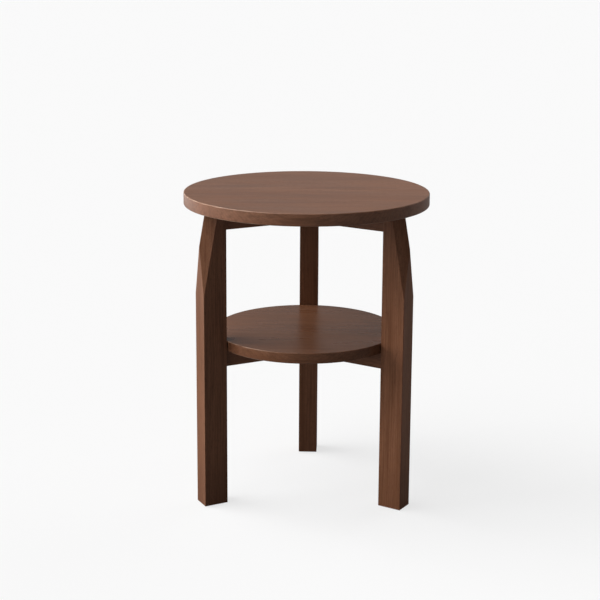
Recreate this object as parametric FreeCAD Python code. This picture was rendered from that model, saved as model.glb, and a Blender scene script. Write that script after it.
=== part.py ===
"""Round end table on three legs, with a lower shelf, built as the wooden pieces and fixings it comes apart into."""
import FreeCAD, Part
import math
import os
from collections import namedtuple

from FreeCAD import Vector

# Overall sizes, in millimetres
table_height = 570.0
top_diameter = 450.0
top_thickness = 22.0
shelf_level = 310.0
shelf_thickness = 19.0

# Rims of the two boards
top_arris_chamfer = 1.5
shelf_arris_chamfer = 1.2
shelf_gap = 1.0

# Legs: square-cut posts whose outer arrises are taken off by an oblique facet towards the head
leg_width = 36.0
leg_depth = 45.0
leg_inset = 9.5
leg_arris_round = 0.8
facet_height = 153.0
facet_depth = 28.5
facet_reach = 29.5

# Rails of the two three-armed stars
upper_rail_height = 34.0
lower_rail_height = 30.0
rail_thickness = 22.0
rail_arris_round = 1.0

# Dowels between rails and legs, and across the mitres
rail_dowel_radius = 4.0
rail_dowel_length = 40.0
rail_dowel_spacing = 14.0
mitre_dowel_radius = 3.0
mitre_dowel_length = 24.0
mitre_dowel_spacing = 8.0
dowel_flutes = 12
dowel_chamfer = 1.0
dowel_clearance = 0.1
dowel_end_gap = 1.0

# Wood screws that hold the top and the shelf down on the rails
screw_length = 32.0
screw_radius = 2.0
screw_tip_length = 4.0
screw_head_radius = 4.2
screw_head_height = 2.8
screw_hole_clearance = 0.3
pilot_clearance = 0.05
pilot_end_gap = 1.0
counterbore_clearance = 0.9
top_bite = 14.0
shelf_bite = 11.0
inner_screw_radius = 45.0
outer_screw_inset = 45.0
shelf_screw_radius = 105.0

# Nail-on glides under the legs
glide_radius = 11.0
glide_height = 4.0
glide_stand = 1.5
glide_edge_chamfer = 0.8
glide_clearance = 0.2
nail_length = 17.0
nail_radius = 1.2
nail_tip_length = 3.0
nail_head_radius = 3.2
nail_head_height = 1.0
nail_sink = 1.0
nail_clearance = 0.1

# One overrun serves every cut that runs out through a face
overrun = 6.0

# Arms of the table, in degrees from +X about its axis
full_turn = 360.0
arm_names = ("back", "left", "right")
back_arm_angle = 90.0
sector = full_turn / len(arm_names)
half_sector = math.radians(sector / 2)
arm_angles = {arm: back_arm_angle + step * sector for step, arm in enumerate(arm_names)}

# Levels and radii that follow from the sizes above
top_radius = top_diameter / 2
top_underside = table_height - top_thickness
shelf_underside = shelf_level - shelf_thickness
leg_outer = top_radius - leg_inset
leg_inner = leg_outer - leg_depth
leg_centre = leg_outer - leg_depth / 2
leg_length = top_underside - glide_stand
shelf_radius = leg_inner - shelf_gap
top_screw_radii = (inner_screw_radius, leg_inner - outer_screw_inset)
shelf_screw_radii = (shelf_screw_radius,)
mitre_width = rail_thickness / 2 / math.sin(half_sector)
nail_seat = nail_sink + nail_head_height

ORIGIN = Vector(0, 0, 0)
OUT = Vector(1, 0, 0)
ACROSS = Vector(0, 1, 0)
UP = Vector(0, 0, 1)

# A star of three rails: its underside, the rails' height, how far its screws bite into the board above,
# and how far from the table's axis they stand on each rail
Star = namedtuple("Star", "bottom height bite screw_radii")
UPPER = Star(top_underside - upper_rail_height, upper_rail_height, top_bite, top_screw_radii)
LOWER = Star(shelf_underside - lower_rail_height, lower_rail_height, shelf_bite, shelf_screw_radii)


def turned(shape, angle):
    """A copy of a shape made on the +X arm, turned about the table's axis."""
    copy = shape.copy()
    copy.rotate(ORIGIN, UP, angle)
    return copy


def lying(shape, direction, place):
    """A copy of a shape made along Z, laid along a direction and moved to its place."""
    copy = shape.copy()
    copy.Placement = FreeCAD.Placement(place, FreeCAD.Rotation(UP, direction))
    return copy


def bored(shape, tools):
    """The one solid that is left when the tools are cut away."""
    return shape.cut(Part.makeCompound(tools)).Solids[0]


def prism(points, height):
    """Upright prism on a closed plan."""
    return Part.Face(Part.makePolygon(points + points[:1])).extrude(UP * height)


def revolved(outline):
    """Solid of revolution about Z; the outline is (radius, level) points from axis to axis."""
    points = [Vector(radius, 0, level) for radius, level in outline]
    return Part.Face(Part.makePolygon(points + points[:1])).revolve(ORIGIN, UP, full_turn)


def dowel(radius, length):
    """Fluted dowel along Z, centred on the origin: a many-sided pin with chamfered ends."""
    corner = Vector(radius, 0, -length / 2)
    turns = [FreeCAD.Rotation(UP, flute * full_turn / dowel_flutes) for flute in range(dowel_flutes)]
    pin = prism([turn.multVec(corner) for turn in turns], length)
    ends = [edge for edge in pin.Edges if edge.BoundBox.ZLength < dowel_chamfer]
    return pin.makeChamfer(dowel_chamfer, ends)


def dowel_hole(radius, length):
    """Hole along Z for such a dowel, with a glue gap round it and at both ends."""
    depth = length + 2 * dowel_end_gap
    return Part.makeCylinder(radius + dowel_clearance, depth, Vector(0, 0, -depth / 2))


def headed_pin(length, radius, tip_length, head_radius, head_height):
    """Screw or nail along Z: its head bears at the origin and its point is uppermost."""
    shoulder = length - tip_length
    head = [(0, -head_height), (head_radius, -head_height), (head_radius, 0)]
    return revolved(head + [(radius, 0), (radius, shoulder), (0, length)])


def on_rail_ends(star, shape):
    """A shape along Z, laid at the two dowel places between a star's +X rail and its leg."""
    middle = star.bottom + star.height / 2
    offset = rail_dowel_spacing / 2
    return [lying(shape, OUT, Vector(leg_inner, 0, middle + side * offset)) for side in (-1, 1)]


def on_mitres(star, shape):
    """A shape along Z, laid across each mitre of a star, at three levels so that none meets the next."""
    middle = star.bottom + star.height / 2
    laid = []
    for step, angle in enumerate(arm_angles.values()):
        level = middle + (step - 1) * mitre_dowel_spacing
        across = lying(shape, ACROSS, Vector(mitre_width / 2, 0, level))
        laid.append(turned(across, angle + sector / 2))
    return laid


def on_screw_places(star, shape, level):
    """A shape along Z, stood at every screw place of a star."""
    stood = [lying(shape, UP, Vector(distance, 0, level)) for distance in star.screw_radii]
    return [turned(one, angle) for angle in arm_angles.values() for one in stood]


def board(star, radius, thickness, arris_chamfer):
    """Table top or shelf: a disc on its star, with eased arrises and blind pilot holes in its underside."""
    underside = star.bottom + star.height
    blank = Part.makeCylinder(radius, thickness, Vector(0, 0, underside))
    rims = [edge for edge in blank.Edges if isinstance(edge.Curve, Part.Circle)]
    depth = star.bite + pilot_end_gap + overrun
    pilot = Part.makeCylinder(screw_radius + pilot_clearance, depth)
    return bored(blank.makeChamfer(arris_chamfer, rims), on_screw_places(star, pilot, underside - overrun))


def facet_waste(side):
    """Block on the waste side of the facet that cuts one outer arris of a leg to a point."""
    arris = side * leg_width / 2
    tip = Vector(leg_outer, arris, top_underside - facet_height)
    on_side_face = Vector(leg_outer - facet_depth, arris, top_underside)
    on_outer_face = Vector(leg_outer, arris - side * facet_reach, top_underside)
    normal = (on_side_face - tip).cross(on_outer_face - tip) * side
    span = 4 * facet_height
    block = Part.makeBox(span, span, span, Vector(-span / 2, -span / 2, 0))
    return lying(block, normal, tip)


def leg():
    """Post on the +X arm: faceted head, softened arrises, dowel holes and a seat for its glide."""
    corner = Vector(leg_inner, -leg_width / 2, glide_stand)
    post = Part.makeBox(leg_depth, leg_width, leg_length, corner)
    post = bored(post, [facet_waste(-1), facet_waste(1)])
    arrises = [edge for edge in post.Edges if edge.BoundBox.ZLength > leg_arris_round]
    holes = []
    for star in (UPPER, LOWER):
        holes += on_rail_ends(star, dowel_hole(rail_dowel_radius, rail_dowel_length))
    foot = Vector(leg_centre, 0, glide_stand - overrun)
    holes.append(Part.makeCylinder(glide_radius + glide_clearance, glide_height - foot.z, foot))
    nail_top = nail_seat + nail_length + nail_clearance
    holes.append(Part.makeCylinder(nail_radius + nail_clearance, nail_top - foot.z, foot))
    return bored(post.makeFillet(leg_arris_round, arrises), holes)


def glide():
    """Nylon disc on the +X arm, with a chamfered sole and a stepped hole for its nail."""
    body = Part.makeCylinder(glide_radius, glide_height, Vector(leg_centre, 0, 0))
    sole = [edge for edge in body.Edges if edge.BoundBox.ZMax < glide_height / 2]
    below = Vector(leg_centre, 0, -overrun)
    shank_hole = Part.makeCylinder(nail_radius + nail_clearance, glide_height + 2 * overrun, below)
    head_hole = Part.makeCylinder(nail_head_radius + nail_clearance, nail_seat + overrun, below)
    return bored(body.makeChamfer(glide_edge_chamfer, sole), [shank_hole, head_hole])


def glide_nail():
    """Nail up through a glide into its leg, on the +X arm."""
    nail = headed_pin(nail_length, nail_radius, nail_tip_length, nail_head_radius, nail_head_height)
    return lying(nail, UP, Vector(leg_centre, 0, nail_seat))


def rail_blank(star):
    """Bar on the +X arm: square where it meets the leg, mitred to a point on the table's axis."""
    half = rail_thickness / 2
    shoulder = half / math.tan(half_sector)
    plan = [(0, 0), (shoulder, half), (leg_inner, half), (leg_inner, -half), (shoulder, -half)]
    bar = prism([Vector(x, y, star.bottom) for x, y in plan], star.height)
    middle = star.bottom + star.height / 2
    low_edges = [edge for edge in bar.Edges if edge.BoundBox.ZMax < middle]
    long_arrises = [edge for edge in low_edges if edge.Length > rail_thickness]
    return bar.makeFillet(rail_arris_round, long_arrises)


def screw_seat(star):
    """Level of the counterbores' floors, which leaves the screws their bite in the board above."""
    return star.bottom + star.height + star.bite - screw_length


def screw_holes(star):
    """Clearance holes and counterbores for every screw of a star."""
    below = star.bottom - overrun
    clear = Part.makeCylinder(screw_radius + screw_hole_clearance, star.height + 2 * overrun)
    counterbore = Part.makeCylinder(screw_head_radius + counterbore_clearance, screw_seat(star) - below)
    return on_screw_places(star, clear, below) + on_screw_places(star, counterbore, below)


def rail(star, angle):
    """Finished rail, turned to its arm, with dowel holes at both ends and counterbored screw holes."""
    ends = on_rail_ends(star, dowel_hole(rail_dowel_radius, rail_dowel_length))
    bar = turned(bored(rail_blank(star), ends), angle)
    mitre_holes = on_mitres(star, dowel_hole(mitre_dowel_radius, mitre_dowel_length))
    return bored(bar, mitre_holes + screw_holes(star))


def star_pieces(name, star, screws_name):
    """The rails, dowels and screws of one star, by name."""
    pieces = {}
    end_dowels = Part.makeCompound(on_rail_ends(star, dowel(rail_dowel_radius, rail_dowel_length)))
    for arm, angle in arm_angles.items():
        pieces[name + "_rail_" + arm] = rail(star, angle)
        pieces[name + "_dowels_" + arm] = turned(end_dowels, angle)
    mitre_dowel = dowel(mitre_dowel_radius, mitre_dowel_length)
    pieces[name + "_mitre_dowels"] = Part.makeCompound(on_mitres(star, mitre_dowel))
    screw = headed_pin(screw_length, screw_radius, screw_tip_length, screw_head_radius, screw_head_height)
    pieces[screws_name] = Part.makeCompound(on_screw_places(star, screw, screw_seat(star)))
    return pieces


def table():
    """Every piece of the table by name."""
    pieces = {
        "table_top": board(UPPER, top_radius, top_thickness, top_arris_chamfer),
        "shelf": board(LOWER, shelf_radius, shelf_thickness, shelf_arris_chamfer),
    }
    post = leg()
    sole = glide()
    nail = glide_nail()
    for arm, angle in arm_angles.items():
        pieces["leg_" + arm] = turned(post, angle)
        pieces["glide_" + arm] = turned(sole, angle)
    pieces["glide_nails"] = Part.makeCompound([turned(nail, angle) for angle in arm_angles.values()])
    pieces.update(star_pieces("upper", UPPER, "top_screws"))
    pieces.update(star_pieces("lower", LOWER, "shelf_screws"))
    return pieces


os.makedirs("parts", exist_ok=True)
for name, piece in table().items():
    piece.exportStep(os.path.join("parts", name + ".step"))
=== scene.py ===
"""Dresses the round end table: stained and lacquered wood, small hardware, a pale studio and the camera."""
import math

import bmesh
import bpy
from mathutils import Matrix, Vector


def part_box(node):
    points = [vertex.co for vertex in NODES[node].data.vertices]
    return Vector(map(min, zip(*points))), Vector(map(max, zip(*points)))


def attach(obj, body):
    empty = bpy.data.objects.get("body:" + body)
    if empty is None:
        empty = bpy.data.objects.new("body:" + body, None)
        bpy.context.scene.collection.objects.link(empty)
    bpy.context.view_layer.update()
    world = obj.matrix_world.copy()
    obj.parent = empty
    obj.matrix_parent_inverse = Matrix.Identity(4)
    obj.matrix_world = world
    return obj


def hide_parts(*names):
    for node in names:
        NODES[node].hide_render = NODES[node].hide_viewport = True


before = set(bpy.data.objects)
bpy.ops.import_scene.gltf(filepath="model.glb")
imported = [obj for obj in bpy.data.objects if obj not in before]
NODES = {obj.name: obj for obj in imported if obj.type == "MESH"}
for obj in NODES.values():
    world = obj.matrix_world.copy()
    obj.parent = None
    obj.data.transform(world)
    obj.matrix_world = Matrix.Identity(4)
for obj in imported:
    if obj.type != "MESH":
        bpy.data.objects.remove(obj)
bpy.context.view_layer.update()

ARM_ANGLES = {"back": 90.0, "left": 210.0, "right": 330.0}
LEVELS = ("upper", "lower")
QUARTER_TURN = 90.0
IN_PLAN = (1.0, 1.0, 0.0)
OPAQUE = (1.0,)

# Camera: where the photograph was taken from, in metres and degrees. The focal length and the row that the
# optical axis meets are in pixels of the square picture.
PICTURE_SIDE = 600
FOCAL_PIXELS = 1418.85
CENTRE_ROW = 240.0
SENSOR_WIDTH = 36.0
CAMERA_DISTANCE = 2.5607
CAMERA_HEIGHT = 1.0232
CAMERA_AROUND = 1.84
CAMERA_HEADING = 2.10
CAMERA_PITCH = 12.03
CAMERA_ROLL = 0.34

# Woods: the linear colours of a stained and a bare one
STAINED = {
    "warm": (0.215, 0.092, 0.048),
    "light": (0.265, 0.124, 0.070),
    "deep": (0.160, 0.066, 0.033),
    "dark": (0.085, 0.033, 0.015),
    "pore": (0.035, 0.014, 0.008),
    # pale rubbed stain, which also paints the highlight on the arrises
    "wear_and_highlight": (0.520, 0.350, 0.260),
}
BEECH = {
    "warm": (0.55, 0.36, 0.21),
    "light": (0.62, 0.43, 0.27),
    "deep": (0.46, 0.29, 0.16),
    "dark": (0.36, 0.21, 0.11),
    "pore": (0.25, 0.14, 0.07),
    # pale rubbed wood, which also paints the highlight on the arrises
    "wear_and_highlight": (0.62, 0.44, 0.29),
}

# Noise in the wood: its cycles per metre across the grain and along it, its detail and its roughness
WAVER = {"cycles": (9.0, 2.2)}
BLOTCH = {"cycles": (16.0, 5.0), "detail": 3.0, "roughness": 0.55}
BAND = {"cycles": (45.0, 1.6)}
STREAK = {"cycles": (190.0, 6.5), "detail": 3.0, "roughness": 0.62}
FIBRE = {"cycles": (1100.0, 22.0)}
PORE = {"cycles": (1700.0, 85.0), "detail": 1.0}
RUB = {"cycles": (60.0, 25.0)}
NOISE_MIDDLE = (0.5, 0.5, 0.5)

# Colour of the wood: the noise between which each tint comes in and the shares that it has there, from none
# to all where these aren't given
WARM_GROUND = (0.28, 0.72)
LIGHT_BANDS = (0.35, 0.68, 0.0, 0.45)
DARK_STREAKS = (0.46, 0.70, 0.0, 0.55)
DARK_FIBRES = (0.45, 0.75, 0.0, 0.35)
OPEN_PORES = (0.60, 0.70)
PORES_IN_BANDS = (0.35, 0.65, 0.35, 1.0)
RING_SHARE = 0.34
PORE_SHARE = 0.6
# share of the pale arris colour: wear and painted highlight
WEAR_AND_HIGHLIGHT_SHARE = 0.9

# Growth rings: their spacing and waver, how late in the year the wood darkens, and where the year ends
RING_SPACING = 0.0034
RING_WAVER = 0.030
LATE_WOOD_POWER = 3.0
YEAR_END = (1.0, 0.93)

# Lacquer: its usual gloss and roughness, what changes the roughness, and the relief of the grain under it
WOOD_GLOSS = 0.2
WOOD_ROUGHNESS = 0.36
DULL_BLOTCHES = (0.3, 0.7)
ROUGHNESS_SWING = 0.04
PORE_ROUGHNESS = 0.12
WORN_ROUGHNESS = -0.2
FIBRE_RELIEF = 0.35
PORE_RELIEF = -1.0
GRAIN_RELIEF = {"Strength": 0.25, "Distance": 0.00012}

# Wear, painted highlight and painted shade: the rubbed width at sharp arrises and how far the surface turns
# there, the lean of the boards' rounded arrises, the patches, the lit side where the pale arris patches paint
# a highlight, and the painted shade near the floor
ARRIS_WEAR = 0.0016
BEVEL_SAMPLES = 6
SHARP_TURN = (0.995, 0.9, 0.0, 0.35)
ROUNDED_STARTS = (0.2, 0.45)
ROUNDED_ENDS = (0.99, 0.93)
RUBBED_PATCHES = (0.35, 0.65, 0.25, 1.0)
# the lit side, where the pale arris patches paint a highlight most strongly
HIGHLIGHT_SIDE = (-0.97, -0.24, 0.0)
HIGHLIGHT_REACH = (0.45, 0.7, 0.15, 1.0)
# painted shade near the floor: how high the legs are darkened, and how much
FOOT_SHADE_HEIGHT = 0.14
FOOT_SHADE_SHARE = 0.42

# Timbers: the stretch that each piece is cut from, where its pith lies, and its tone and finish
TOP_TIMBER = {"shift": (0.0, 0.0, 0.3), "pith": (0.45, 0.03)}
TOP_FINISH = {"tone": 1.04, "gloss": 0.36}
SHELF_TIMBER = {"shift": (0.2, 0.1, 0.7), "pith": (0.40, 0.13)}
SHELF_FINISH = {"tone": 0.92, "gloss": 0.16, "roughness": 0.28}
FRAME_PITH = (0.05, 0.09)
ARM_SHIFT = (0.31, 0.17, 0.0)
MITRE_DOWEL_SHIFT = (0.4, 0.2, 0.1)
UPRIGHT = (0.0, 0.0, 0.0)
# the legs' tones differ as painted light and shade: the right leg is lighter and the back leg darker than
# their wood
LEG_TONES_WITH_PAINTED_LIGHT = {"back": 0.9, "left": 0.93, "right": 1.12}
LEG_GLOSS = 0.16
RAIL_TONE = 1.06

# Steel: linear colours of the plating on screws and nails, and its clouds and fine scratches
ZINC = {"dull": (0.36, 0.32, 0.23, 1.0), "bright": (0.58, 0.53, 0.41, 1.0)}
NICKEL = {"dull": (0.42, 0.42, 0.43, 1.0), "bright": (0.60, 0.60, 0.61, 1.0)}
CLOUD = {"cycles": (700.0, 700.0), "detail": 3.0}
SCRATCH = {"cycles": (9000.0, 500.0)}
CLOUDED = (0.3, 0.7)
CLOUDED_ROUGHNESS = (0.34, 0.20)
SCRATCH_ROUGHNESS = 0.14
SCRATCH_RELIEF = {"Strength": 0.2, "Distance": 0.00002}

# Nylon: its linear colours, its moulded speckle, and the scuffs on a face that looks down
NYLON_DARK = (0.030, 0.023, 0.019, 1.0)
NYLON_PALE = (0.046, 0.036, 0.030, 1.0)
NYLON_SCUFFED = (0.125, 0.105, 0.090, 1.0)
SPECKLE = {"cycles": (2600.0, 2600.0)}
SPECKLED = (0.3, 0.7)
SPECKLED_ROUGHNESS = (0.42, 0.54)
SPECKLE_RELIEF = {"Strength": 0.3, "Distance": 0.00004}
SCUFF = {"cycles": (420.0, 420.0), "detail": 4.0, "roughness": 0.7}
SCUFFED_PATCHES = (0.42, 0.66)
SCUFFED_ROUGHNESS = 0.2
SOLE_FACING = (-0.8, -1.0)

# Boards: how far their arrises are rounded, the steps round a board and over an arris, the ring of each flat
# beside its arris, and the angle from which an edge stays sharp
TOP_ARRIS = 0.0018
SHELF_ARRIS = 0.0014
BOARD_STEPS = 192
ARRIS_STEPS = 6
FLAT_MARGIN = 0.0006
SHARP_ANGLE = math.radians(35)

# Wood screws: domed head with a cross recess, plain shank, thread and point. The head's outline is in shares
# of its radius and of its dome's height.
SCREW_REACH = 0.012
HEAD_HEIGHT = 0.0028
HEAD_DOME = 0.0010
HEAD_OUTLINE_SHARES = [(0.66, 0.12), (0.84, 0.40), (0.96, 0.80), (1.0, 1.2)]
SHANK_RADIUS = 0.0017
PLAIN_LENGTH = 0.0100
THREAD_CREST = 0.0020
THREAD_ROOT = 0.0014
THREAD_PITCH = 0.0018
THREAD_ROWS = 5
TIP_LENGTH = 0.0040
TIP_RADIUS = 0.0001
RECESS_REACH = 0.0022
RECESS_HALF_WIDTH = 0.0006
RECESS_DEPTH = 0.0016
RECESS_FLOOR_SHARE = 0.55
SCREW_STEPS = 24

# Studio: white seen by the camera, a weak even fill, and soft distant lamps, most of them on the left. The
# low lamps are kept out of gloss, where they would glare in the boards, and the floor's left shines instead.
BACKGROUND_WHITE = 0.94
FILL = 0.028
WORLD_GLOSS_SHARE = 0.4
FLOOR_GLOSS_SHARE = 0.05
FLOOR_LEFT_GLOSS_SHARE = 1.8
FLOOR_LEFT_STARTS = -1.0
FLOOR_LEFT_FULL = -2.6
LAMPS = {
    "key": {"bearing": 190.0, "elevation": 58.0, "spread": 60.0, "strength": 2.05, "in_gloss": True},
    "window": {"bearing": 174.0, "elevation": 14.0, "spread": 54.0, "strength": 4.5, "in_gloss": False},
    "card": {"bearing": 228.0, "elevation": 12.0, "spread": 34.0, "strength": 0.5, "in_gloss": False},
    "back": {"bearing": 40.0, "elevation": 14.0, "spread": 50.0, "strength": 1.25, "in_gloss": False},
}
FLOOR_HALF = 60.0
FLOOR_LEVEL = -0.0002
FLOOR_ALBEDO = 0.22
FLOOR_GLOW = 0.715


class Tree:
    """A node tree with short calls for adding and joining its nodes."""

    def __init__(self, tree):
        self.nodes = tree.nodes
        self.links = tree.links
        self.nodes.clear()

    def add(self, kind, inputs=None, **settings):
        """A node with its settings, and with each input linked to a socket or set to a value."""
        node = self.nodes.new(kind)
        for name, value in settings.items():
            setattr(node, name, value)
        for name, value in (inputs or {}).items():
            self.feed(node.inputs[name], value)
        return node

    def feed(self, socket, value):
        """Links an input to another node's socket, or sets it to a value."""
        if isinstance(value, bpy.types.NodeSocket):
            self.links.new(value, socket)
        else:
            socket.default_value = value

    def math(self, operation, *values):
        """Result of an operation on numbers."""
        node = self.add("ShaderNodeMath", dict(enumerate(values)), operation=operation)
        return node.outputs["Value"]

    def vector(self, operation, *values):
        """Result of an operation on vectors that gives a vector."""
        node = self.add("ShaderNodeVectorMath", dict(enumerate(values)), operation=operation)
        return node.outputs["Vector"]

    def measure(self, operation, *values):
        """Result of an operation on vectors that gives a number."""
        node = self.add("ShaderNodeVectorMath", dict(enumerate(values)), operation=operation)
        return node.outputs["Value"]

    def part(self, vector, axis):
        """One coordinate of a vector."""
        return self.add("ShaderNodeSeparateXYZ", {"Vector": vector}).outputs[axis]

    def place(self):
        """Where a point of the surface lies, in metres."""
        return self.add("ShaderNodeTexCoord").outputs["Object"]

    def normal(self):
        """Where the surface faces."""
        return self.add("ShaderNodeNewGeometry").outputs["Normal"]

    def remap(self, value, low, high, to_low=0.0, to_high=1.0, smooth=False):
        """A value taken from one range to another, and held at its ends."""
        kind = "SMOOTHSTEP" if smooth else "LINEAR"
        inputs = {"Value": value, "From Min": low, "From Max": high, "To Min": to_low, "To Max": to_high}
        return self.add("ShaderNodeMapRange", inputs, interpolation_type=kind).outputs["Result"]

    def noise(self, place, cycles, detail=2.0, roughness=0.5):
        """Noise drawn out along the grain, with its cycles per metre across the grain and along it."""
        across, along = cycles
        scaled = self.add("ShaderNodeMapping", {"Vector": place, "Scale": (across, across, along)})
        inputs = {"Vector": scaled.outputs["Vector"], "Scale": 1.0, "Detail": detail, "Roughness": roughness}
        return self.add("ShaderNodeTexNoise", inputs)

    def layer(self, place, **noise):
        """Noise as a number."""
        return self.noise(place, **noise).outputs["Fac"]

    def mix(self, share, first, second):
        """The first colour, with a share of the second laid over it."""
        node = self.add("ShaderNodeMix", {"Factor": share}, data_type="RGBA")
        colours = [socket for socket in node.inputs if socket.type == "RGBA"]
        for socket, value in zip(colours, (first, second)):
            self.feed(socket, value)
        return next(socket for socket in node.outputs if socket.type == "RGBA")

    def bump(self, height, relief):
        """Normal of a surface with fine relief, whose strength and distance are given."""
        return self.add("ShaderNodeBump", {"Height": height, **relief}).outputs["Normal"]

    def surface(self, shader):
        """Gives the material its surface."""
        self.add("ShaderNodeOutputMaterial", {"Surface": shader.outputs[0]})


def new_material(name):
    """An empty material and its tree."""
    material = bpy.data.materials.new(name)
    material.use_nodes = True
    return material, Tree(material.node_tree)


def wood(
    name, turn, shift, pith, palette=STAINED, tone=1.0, gloss=WOOD_GLOSS, roughness=WOOD_ROUGHNESS, foot_shade=0.0
):
    """Hardwood under satin lacquer.

    The turn lays the grain, which runs along the texture's Z, along a piece, and the shift gives each piece
    its own stretch of timber. The pith is where the growth rings' centre lies across the grain. A piece with
    foot shade is painted darker towards the floor, as painted shade near the floor.
    """
    material, tree = new_material(name)
    place = tree.place()
    turned = tree.add("ShaderNodeMapping", {"Vector": place, "Rotation": turn, "Location": shift})
    laid = turned.outputs["Vector"]
    shades = {
        shade: tuple(channel * tone for channel in colour) + OPAQUE for shade, colour in palette.items()
    }

    blotch = tree.layer(laid, **BLOTCH)
    band = tree.layer(laid, **BAND)
    streak = tree.layer(laid, **STREAK)
    fibre = tree.layer(laid, **FIBRE)
    open_pore = tree.remap(tree.layer(laid, **PORE), *OPEN_PORES, smooth=True)
    pore = tree.math("MULTIPLY", open_pore, tree.remap(band, *PORES_IN_BANDS))
    wear_and_highlight = rubbed_and_highlit_arris(tree, place, laid)

    tints = [
        ("light", tree.remap(band, *LIGHT_BANDS)),
        ("dark", tree.math("MULTIPLY", growth_rings(tree, laid, pith), RING_SHARE)),
        ("dark", tree.remap(streak, *DARK_STREAKS)),
        ("dark", tree.remap(fibre, *DARK_FIBRES)),
        ("pore", tree.math("MULTIPLY", pore, PORE_SHARE)),
        # pale arris patches: wear and a painted highlight
        ("wear_and_highlight", tree.math("MULTIPLY", wear_and_highlight, WEAR_AND_HIGHLIGHT_SHARE)),
    ]
    if foot_shade:
        # painted shade: the piece is darkened towards the floor
        painted_foot_shade = tree.remap(tree.part(place, "Z"), FOOT_SHADE_HEIGHT, 0.0, 0.0, foot_shade, smooth=True)
        tints.append(("dark", painted_foot_shade))
    colour = tree.mix(tree.remap(blotch, *WARM_GROUND), shades["deep"], shades["warm"])
    for shade, share in tints:
        colour = tree.mix(share, colour, shades[shade])

    rough = tree.remap(blotch, *DULL_BLOTCHES, roughness - ROUGHNESS_SWING, roughness + ROUGHNESS_SWING)
    rough = tree.math("MULTIPLY_ADD", pore, PORE_ROUGHNESS, rough)
    rough = tree.math("MULTIPLY_ADD", wear_and_highlight, WORN_ROUGHNESS, rough)
    relief = tree.math("MULTIPLY_ADD", fibre, FIBRE_RELIEF, tree.math("MULTIPLY", pore, PORE_RELIEF))
    finish = {
        "Base Color": colour,
        "Roughness": rough,
        "Normal": tree.bump(relief, GRAIN_RELIEF),
        "Specular IOR Level": gloss,
    }
    tree.surface(tree.add("ShaderNodeBsdfPrincipled", finish))
    return material


def growth_rings(tree, laid, pith):
    """The dark late wood at the end of each year, in wavering rings about the pith."""
    waver = tree.noise(laid, **WAVER).outputs["Color"]
    drift = tree.vector("MULTIPLY", tree.vector("SUBTRACT", waver, NOISE_MIDDLE), (RING_WAVER,) * 3)
    from_pith = tree.vector("SUBTRACT", tree.vector("ADD", laid, drift), pith + (0.0,))
    radius = tree.measure("LENGTH", tree.vector("MULTIPLY", from_pith, IN_PLAN))
    year = tree.math("FRACT", tree.math("DIVIDE", radius, RING_SPACING))
    late = tree.math("POWER", year, LATE_WOOD_POWER)
    return tree.math("MULTIPLY", late, tree.remap(year, *YEAR_END, smooth=True))


def rubbed_and_highlit_arris(tree, place, laid):
    """Where the stain is rubbed thin, with a painted highlight: pale patches on the arrises, most on the
    boards and strongest on the lit left side.
    """
    normal = tree.normal()
    softened = tree.add("ShaderNodeBevel", {"Radius": ARRIS_WEAR}, samples=BEVEL_SAMPLES).outputs["Normal"]
    sharp = tree.remap(tree.measure("DOT_PRODUCT", softened, normal), *SHARP_TURN)
    lean = tree.math("ABSOLUTE", tree.part(normal, "Z"))
    rounded = tree.math("MULTIPLY", tree.remap(lean, *ROUNDED_STARTS), tree.remap(lean, *ROUNDED_ENDS))
    around = tree.vector("NORMALIZE", tree.vector("MULTIPLY", place, IN_PLAN))
    highlit = tree.remap(tree.measure("DOT_PRODUCT", around, HIGHLIGHT_SIDE), *HIGHLIGHT_REACH)
    patchy = tree.remap(tree.layer(laid, **RUB), *RUBBED_PATCHES)
    arris = tree.math("MAXIMUM", sharp, rounded)
    return tree.math("MULTIPLY", arris, tree.math("MULTIPLY", patchy, highlit))


def steel(name, plating):
    """Plated steel, clouded and finely scratched."""
    material, tree = new_material(name)
    place = tree.place()
    cloud = tree.layer(place, **CLOUD)
    scratch = tree.layer(place, **SCRATCH)
    clouded_roughness = tree.remap(cloud, *CLOUDED, *CLOUDED_ROUGHNESS)
    finish = {
        "Base Color": tree.mix(tree.remap(cloud, *CLOUDED), plating["dull"], plating["bright"]),
        "Roughness": tree.math("MULTIPLY_ADD", scratch, SCRATCH_ROUGHNESS, clouded_roughness),
        "Normal": tree.bump(scratch, SCRATCH_RELIEF),
        "Metallic": 1.0,
    }
    tree.surface(tree.add("ShaderNodeBsdfPrincipled", finish))
    return material


def nylon(name):
    """Dark moulded nylon, scuffed paler where the sole faces down."""
    material, tree = new_material(name)
    place = tree.place()
    speckle = tree.layer(place, **SPECKLE)
    sole = tree.remap(tree.part(tree.normal(), "Z"), *SOLE_FACING)
    scuffed = tree.math("MULTIPLY", sole, tree.remap(tree.layer(place, **SCUFF), *SCUFFED_PATCHES))
    colour = tree.mix(tree.remap(speckle, *SPECKLED), NYLON_DARK, NYLON_PALE)
    speckled_roughness = tree.remap(speckle, *SPECKLED, *SPECKLED_ROUGHNESS)
    finish = {
        "Base Color": tree.mix(scuffed, colour, NYLON_SCUFFED),
        "Roughness": tree.math("MULTIPLY_ADD", scuffed, SCUFFED_ROUGHNESS, speckled_roughness),
        "Normal": tree.bump(speckle, SPECKLE_RELIEF),
    }
    tree.surface(tree.add("ShaderNodeBsdfPrincipled", finish))
    return material


def dress(node, material):
    """Puts one material on every slot of a node's object."""
    for slot in NODES[node].material_slots:
        slot.material = material


def link(piece):
    """Puts a new object into the scene."""
    bpy.context.scene.collection.objects.link(piece)
    return piece


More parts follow.
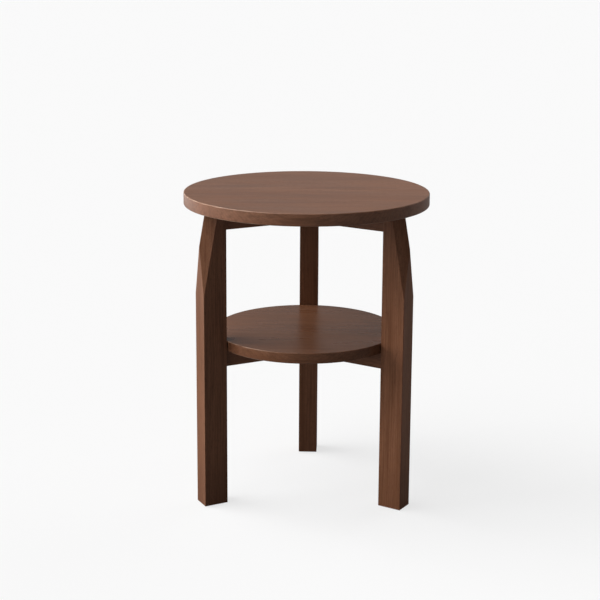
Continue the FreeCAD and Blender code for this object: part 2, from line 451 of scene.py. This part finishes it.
def stand_in(name, node, material, skins):
    """A smooth piece in a node's place, made of closed skins over rings of as many points each."""
    mesh = bmesh.new()
    for rings in skins:
        corners = [[mesh.verts.new(point) for point in ring] for ring in rings]
        for below, above in zip(corners, corners[1:]):
            for step, corner in enumerate(below):
                ahead = (step + 1) % len(below)
                mesh.faces.new((corner, below[ahead], above[ahead], above[step]))
        mesh.faces.new(list(reversed(corners[0])))
        mesh.faces.new(corners[-1])
    data = bpy.data.meshes.new(name)
    mesh.to_mesh(data)
    mesh.free()
    data.shade_smooth()
    data.set_sharp_from_angle(angle=SHARP_ANGLE)
    data.materials.append(material)
    piece = link(bpy.data.objects.new(name, data))
    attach(piece, "root")
    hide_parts(node)


def circle(radius, level, steps, centre=(0.0, 0.0)):
    """Points round an upright axis."""
    turns = [math.tau * step / steps for step in range(steps)]
    return [(centre[0] + radius * math.cos(t), centre[1] + radius * math.sin(t), level) for t in turns]


def board(name, node, arris, material):
    """A turned disc with rounded arrises, in a board node's place."""
    low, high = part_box(node)
    inside = high.x - arris
    outline = [(inside - FLAT_MARGIN, low.z)]
    for level, start in ((low.z + arris, -QUARTER_TURN), (high.z - arris, 0.0)):
        for step in range(ARRIS_STEPS + 1):
            angle = math.radians(start + QUARTER_TURN * step / ARRIS_STEPS)
            outline.append((inside + arris * math.cos(angle), level + arris * math.sin(angle)))
    outline.append((inside - FLAT_MARGIN, high.z))
    rings = [circle(radius, level, BOARD_STEPS) for radius, level in outline]
    stand_in(name, node, material, [rings])


def solids_in_plan(node):
    """Centre in plan, lowest and highest level, and radius of each upright round solid in a node."""
    groups = []
    for vertex in NODES[node].data.vertices:
        near = [group for group in groups if (group[0].xy - vertex.co.xy).length < SCREW_REACH]
        if near:
            near[0].append(vertex.co)
        else:
            groups.append([vertex.co])
    solids = []
    for group in groups:
        (x_low, y_low, low), (x_high, y_high, high) = [
            [pick(point[axis] for point in group) for axis in range(3)] for pick in (min, max)
        ]
        centre = ((x_low + x_high) / 2, (y_low + y_high) / 2)
        solids.append((centre, low, high, (x_high - x_low) / 2))
    return solids


def recess_outline():
    """Cross of four arms, with as many points as the screw has steps."""
    middle = (RECESS_REACH + RECESS_HALF_WIDTH) / 2
    arm = [
        (RECESS_REACH, 0.0),
        (RECESS_REACH, RECESS_HALF_WIDTH),
        (middle, RECESS_HALF_WIDTH),
        (RECESS_HALF_WIDTH, RECESS_HALF_WIDTH),
        (RECESS_HALF_WIDTH, middle),
        (RECESS_HALF_WIDTH, RECESS_REACH),
    ]
    quarters = [Matrix.Rotation(math.radians(QUARTER_TURN * quarter), 2) for quarter in range(4)]
    return [quarter @ Vector(point) for quarter in quarters for point in arm]


def thread_row(centre, level):
    """Ring of the thread at one level, where its radius swings between root and crest round the turn."""
    ring = []
    for step in range(SCREW_STEPS):
        share = (level / THREAD_PITCH - step / SCREW_STEPS) % 1.0
        radius = THREAD_CREST - (THREAD_CREST - THREAD_ROOT) * abs(2.0 * share - 1.0)
        turn = math.tau * step / SCREW_STEPS
        ring.append((centre[0] + radius * math.cos(turn), centre[1] + radius * math.sin(turn), level))
    return ring


def screw(centre, low, high, head_radius):
    """Rings of one screw from its recess, which faces down, to its point."""
    cross = recess_outline()
    rings = []
    for share, level in ((RECESS_FLOOR_SHARE, low + RECESS_DEPTH), (1.0, low)):
        rings.append([(centre[0] + share * x, centre[1] + share * y, level) for x, y in cross])
    for share, rise in HEAD_OUTLINE_SHARES:
        rings.append(circle(share * head_radius, low + rise * HEAD_DOME, SCREW_STEPS, centre))
    seat = low + HEAD_HEIGHT
    thread_start = seat + PLAIN_LENGTH
    thread_end = high - TIP_LENGTH
    for radius, level in ((head_radius, seat), (SHANK_RADIUS, seat), (SHANK_RADIUS, thread_start)):
        rings.append(circle(radius, level, SCREW_STEPS, centre))
    rows = round((thread_end - thread_start) / THREAD_PITCH * THREAD_ROWS)
    for row in range(1, rows):
        rings.append(thread_row(centre, thread_start + (thread_end - thread_start) * row / rows))
    for radius, level in ((THREAD_ROOT, thread_end), (TIP_RADIUS, high)):
        rings.append(circle(radius, level, SCREW_STEPS, centre))
    return rings


def lengthwise(angle):
    """Turn that lays the grain along an arm of the table."""
    lying = Matrix.Rotation(math.radians(QUARTER_TURN), 3, "Y")
    return (lying @ Matrix.Rotation(-math.radians(angle), 3, "Z")).to_euler()


def dress_boards():
    """Top and shelf, with their grain from side to side."""
    top = wood("top_wood_finish", lengthwise(0.0), **TOP_TIMBER, **TOP_FINISH)
    shelf = wood("shelf_wood_finish", lengthwise(0.0), **SHELF_TIMBER, **SHELF_FINISH)
    board("table_top_board", "table_top", TOP_ARRIS, top)
    board("shelf_board", "shelf", SHELF_ARRIS, shelf)


def dress_frame():
    """Legs with upright grain, rails and dowels with theirs lengthwise, each arm from its own timber."""
    for step, (arm, angle) in enumerate(ARM_ANGLES.items()):
        timber = {"shift": tuple(step * way for way in ARM_SHIFT), "pith": FRAME_PITH}
        # the legs are painted darker towards the floor, and their tones paint light and shade
        finish = {"tone": LEG_TONES_WITH_PAINTED_LIGHT[arm], "gloss": LEG_GLOSS, "foot_shade": FOOT_SHADE_SHARE}
        dress("leg_" + arm, wood("leg_wood_finish_" + arm, UPRIGHT, **timber, **finish))
        for level in LEVELS:
            rail = wood(level + "_rail_wood_finish_" + arm, lengthwise(angle), tone=RAIL_TONE, **timber)
            dress(level + "_rail_" + arm, rail)
            dowels = wood(level + "_dowel_wood_finish_" + arm, lengthwise(angle), palette=BEECH, **timber)
            dress(level + "_dowels_" + arm, dowels)


def dress_hardware():
    """Mitre dowels, screws, nails and glides."""
    zinc = steel("screw_steel_finish", ZINC)
    for name in ("top_screws", "shelf_screws"):
        skins = [screw(*solid) for solid in solids_in_plan(name)]
        stand_in(name + "_threaded", name, zinc, skins)
    timber = {"shift": MITRE_DOWEL_SHIFT, "pith": FRAME_PITH, "palette": BEECH}
    for level in LEVELS:
        dress(level + "_mitre_dowels", wood(level + "_mitre_dowel_wood_finish", lengthwise(0.0), **timber))
    dress("glide_nails", steel("nail_steel_finish", NICKEL))
    for arm in ARM_ANGLES:
        dress("glide_" + arm, nylon("glide_nylon_finish_" + arm))


def seen_directly(tree, gloss_share):
    """How far a ray shows the background itself: from the camera, through a clear surface or in a gloss."""
    path = tree.add("ShaderNodeLightPath")
    either = tree.math("MAXIMUM", path.outputs["Is Camera Ray"], path.outputs["Is Transmission Ray"])
    in_gloss = tree.math("MULTIPLY", path.outputs["Is Glossy Ray"], gloss_share)
    return tree.math("MAXIMUM", either, in_gloss)


def add_floor():
    """A wide pale floor that shows white to the camera, keeps the table's shadow and is clear from below."""
    mesh = bpy.data.meshes.new("floor")
    corners = [(-1, -1), (1, -1), (1, 1), (-1, 1)]
    points = [(x * FLOOR_HALF, y * FLOOR_HALF, FLOOR_LEVEL) for x, y in corners]
    mesh.from_pydata(points, [], [(0, 1, 2, 3)])
    floor = link(bpy.data.objects.new("floor", mesh))
    material, tree = new_material("floor_paper")
    paper = tree.add("ShaderNodeBsdfDiffuse", {"Color": (FLOOR_ALBEDO,) * 3 + OPAQUE})
    edges = (FLOOR_LEFT_STARTS, FLOOR_LEFT_FULL, FLOOR_GLOSS_SHARE, FLOOR_LEFT_GLOSS_SHARE)
    gloss_share = tree.remap(tree.part(tree.place(), "X"), *edges, smooth=True)
    strength = tree.math("MULTIPLY", seen_directly(tree, gloss_share), FLOOR_GLOW)
    glow = tree.add("ShaderNodeEmission", {"Strength": strength})
    above = tree.add("ShaderNodeAddShader", {0: paper.outputs[0], 1: glow.outputs[0]})
    below = tree.add("ShaderNodeBsdfTransparent")
    side = tree.add("ShaderNodeNewGeometry").outputs["Backfacing"]
    tree.surface(tree.add("ShaderNodeMixShader", {0: side, 1: above.outputs[0], 2: below.outputs[0]}))
    mesh.materials.append(material)


def add_world():
    """White background, and a weak even fill."""
    world = bpy.data.worlds.new("studio")
    bpy.context.scene.world = world
    world.use_nodes = True
    tree = Tree(world.node_tree)
    white = tree.math("MULTIPLY", seen_directly(tree, WORLD_GLOSS_SHARE), BACKGROUND_WHITE)
    background = tree.add("ShaderNodeBackground", {"Strength": tree.math("MAXIMUM", white, FILL)})
    tree.add("ShaderNodeOutputWorld", {"Surface": background.outputs[0]})


def add_lamps():
    """Soft distant lamps, each given by its bearing and elevation as seen from the table."""
    for name, aim in LAMPS.items():
        lamp = bpy.data.lights.new(name, "SUN")
        lamp.energy = aim["strength"]
        lamp.angle = math.radians(aim["spread"])
        piece = link(bpy.data.objects.new(name, lamp))
        piece.visible_glossy = aim["in_gloss"]
        bearing = math.radians(aim["bearing"])
        elevation = math.radians(aim["elevation"])
        level = math.cos(elevation)
        towards = Vector((math.cos(bearing) * level, math.sin(bearing) * level, math.sin(elevation)))
        piece.rotation_mode = "QUATERNION"
        piece.rotation_quaternion = towards.to_track_quat("Z", "Y")


def add_camera():
    """The photograph's viewpoint, aim and framing."""
    data = bpy.data.cameras.new("camera")
    data.sensor_width = SENSOR_WIDTH
    data.lens = FOCAL_PIXELS / PICTURE_SIDE * SENSOR_WIDTH
    data.shift_y = (CENTRE_ROW - PICTURE_SIDE / 2) / PICTURE_SIDE
    camera = link(bpy.data.objects.new("camera", data))
    around = math.radians(CAMERA_AROUND)
    camera.location = (
        CAMERA_DISTANCE * math.sin(around),
        -CAMERA_DISTANCE * math.cos(around),
        CAMERA_HEIGHT,
    )
    heading = Matrix.Rotation(math.radians(CAMERA_HEADING), 3, "Z")
    tilt = Matrix.Rotation(math.radians(QUARTER_TURN - CAMERA_PITCH), 3, "X")
    roll = Matrix.Rotation(math.radians(CAMERA_ROLL), 3, "Z")
    camera.rotation_mode = "QUATERNION"
    camera.rotation_quaternion = (heading @ tilt @ roll).to_quaternion()
    bpy.context.scene.camera = camera


bpy.context.scene.view_settings.view_transform = "Standard"
dress_boards()
dress_frame()
dress_hardware()
add_floor()
add_world()
add_lamps()
add_camera()
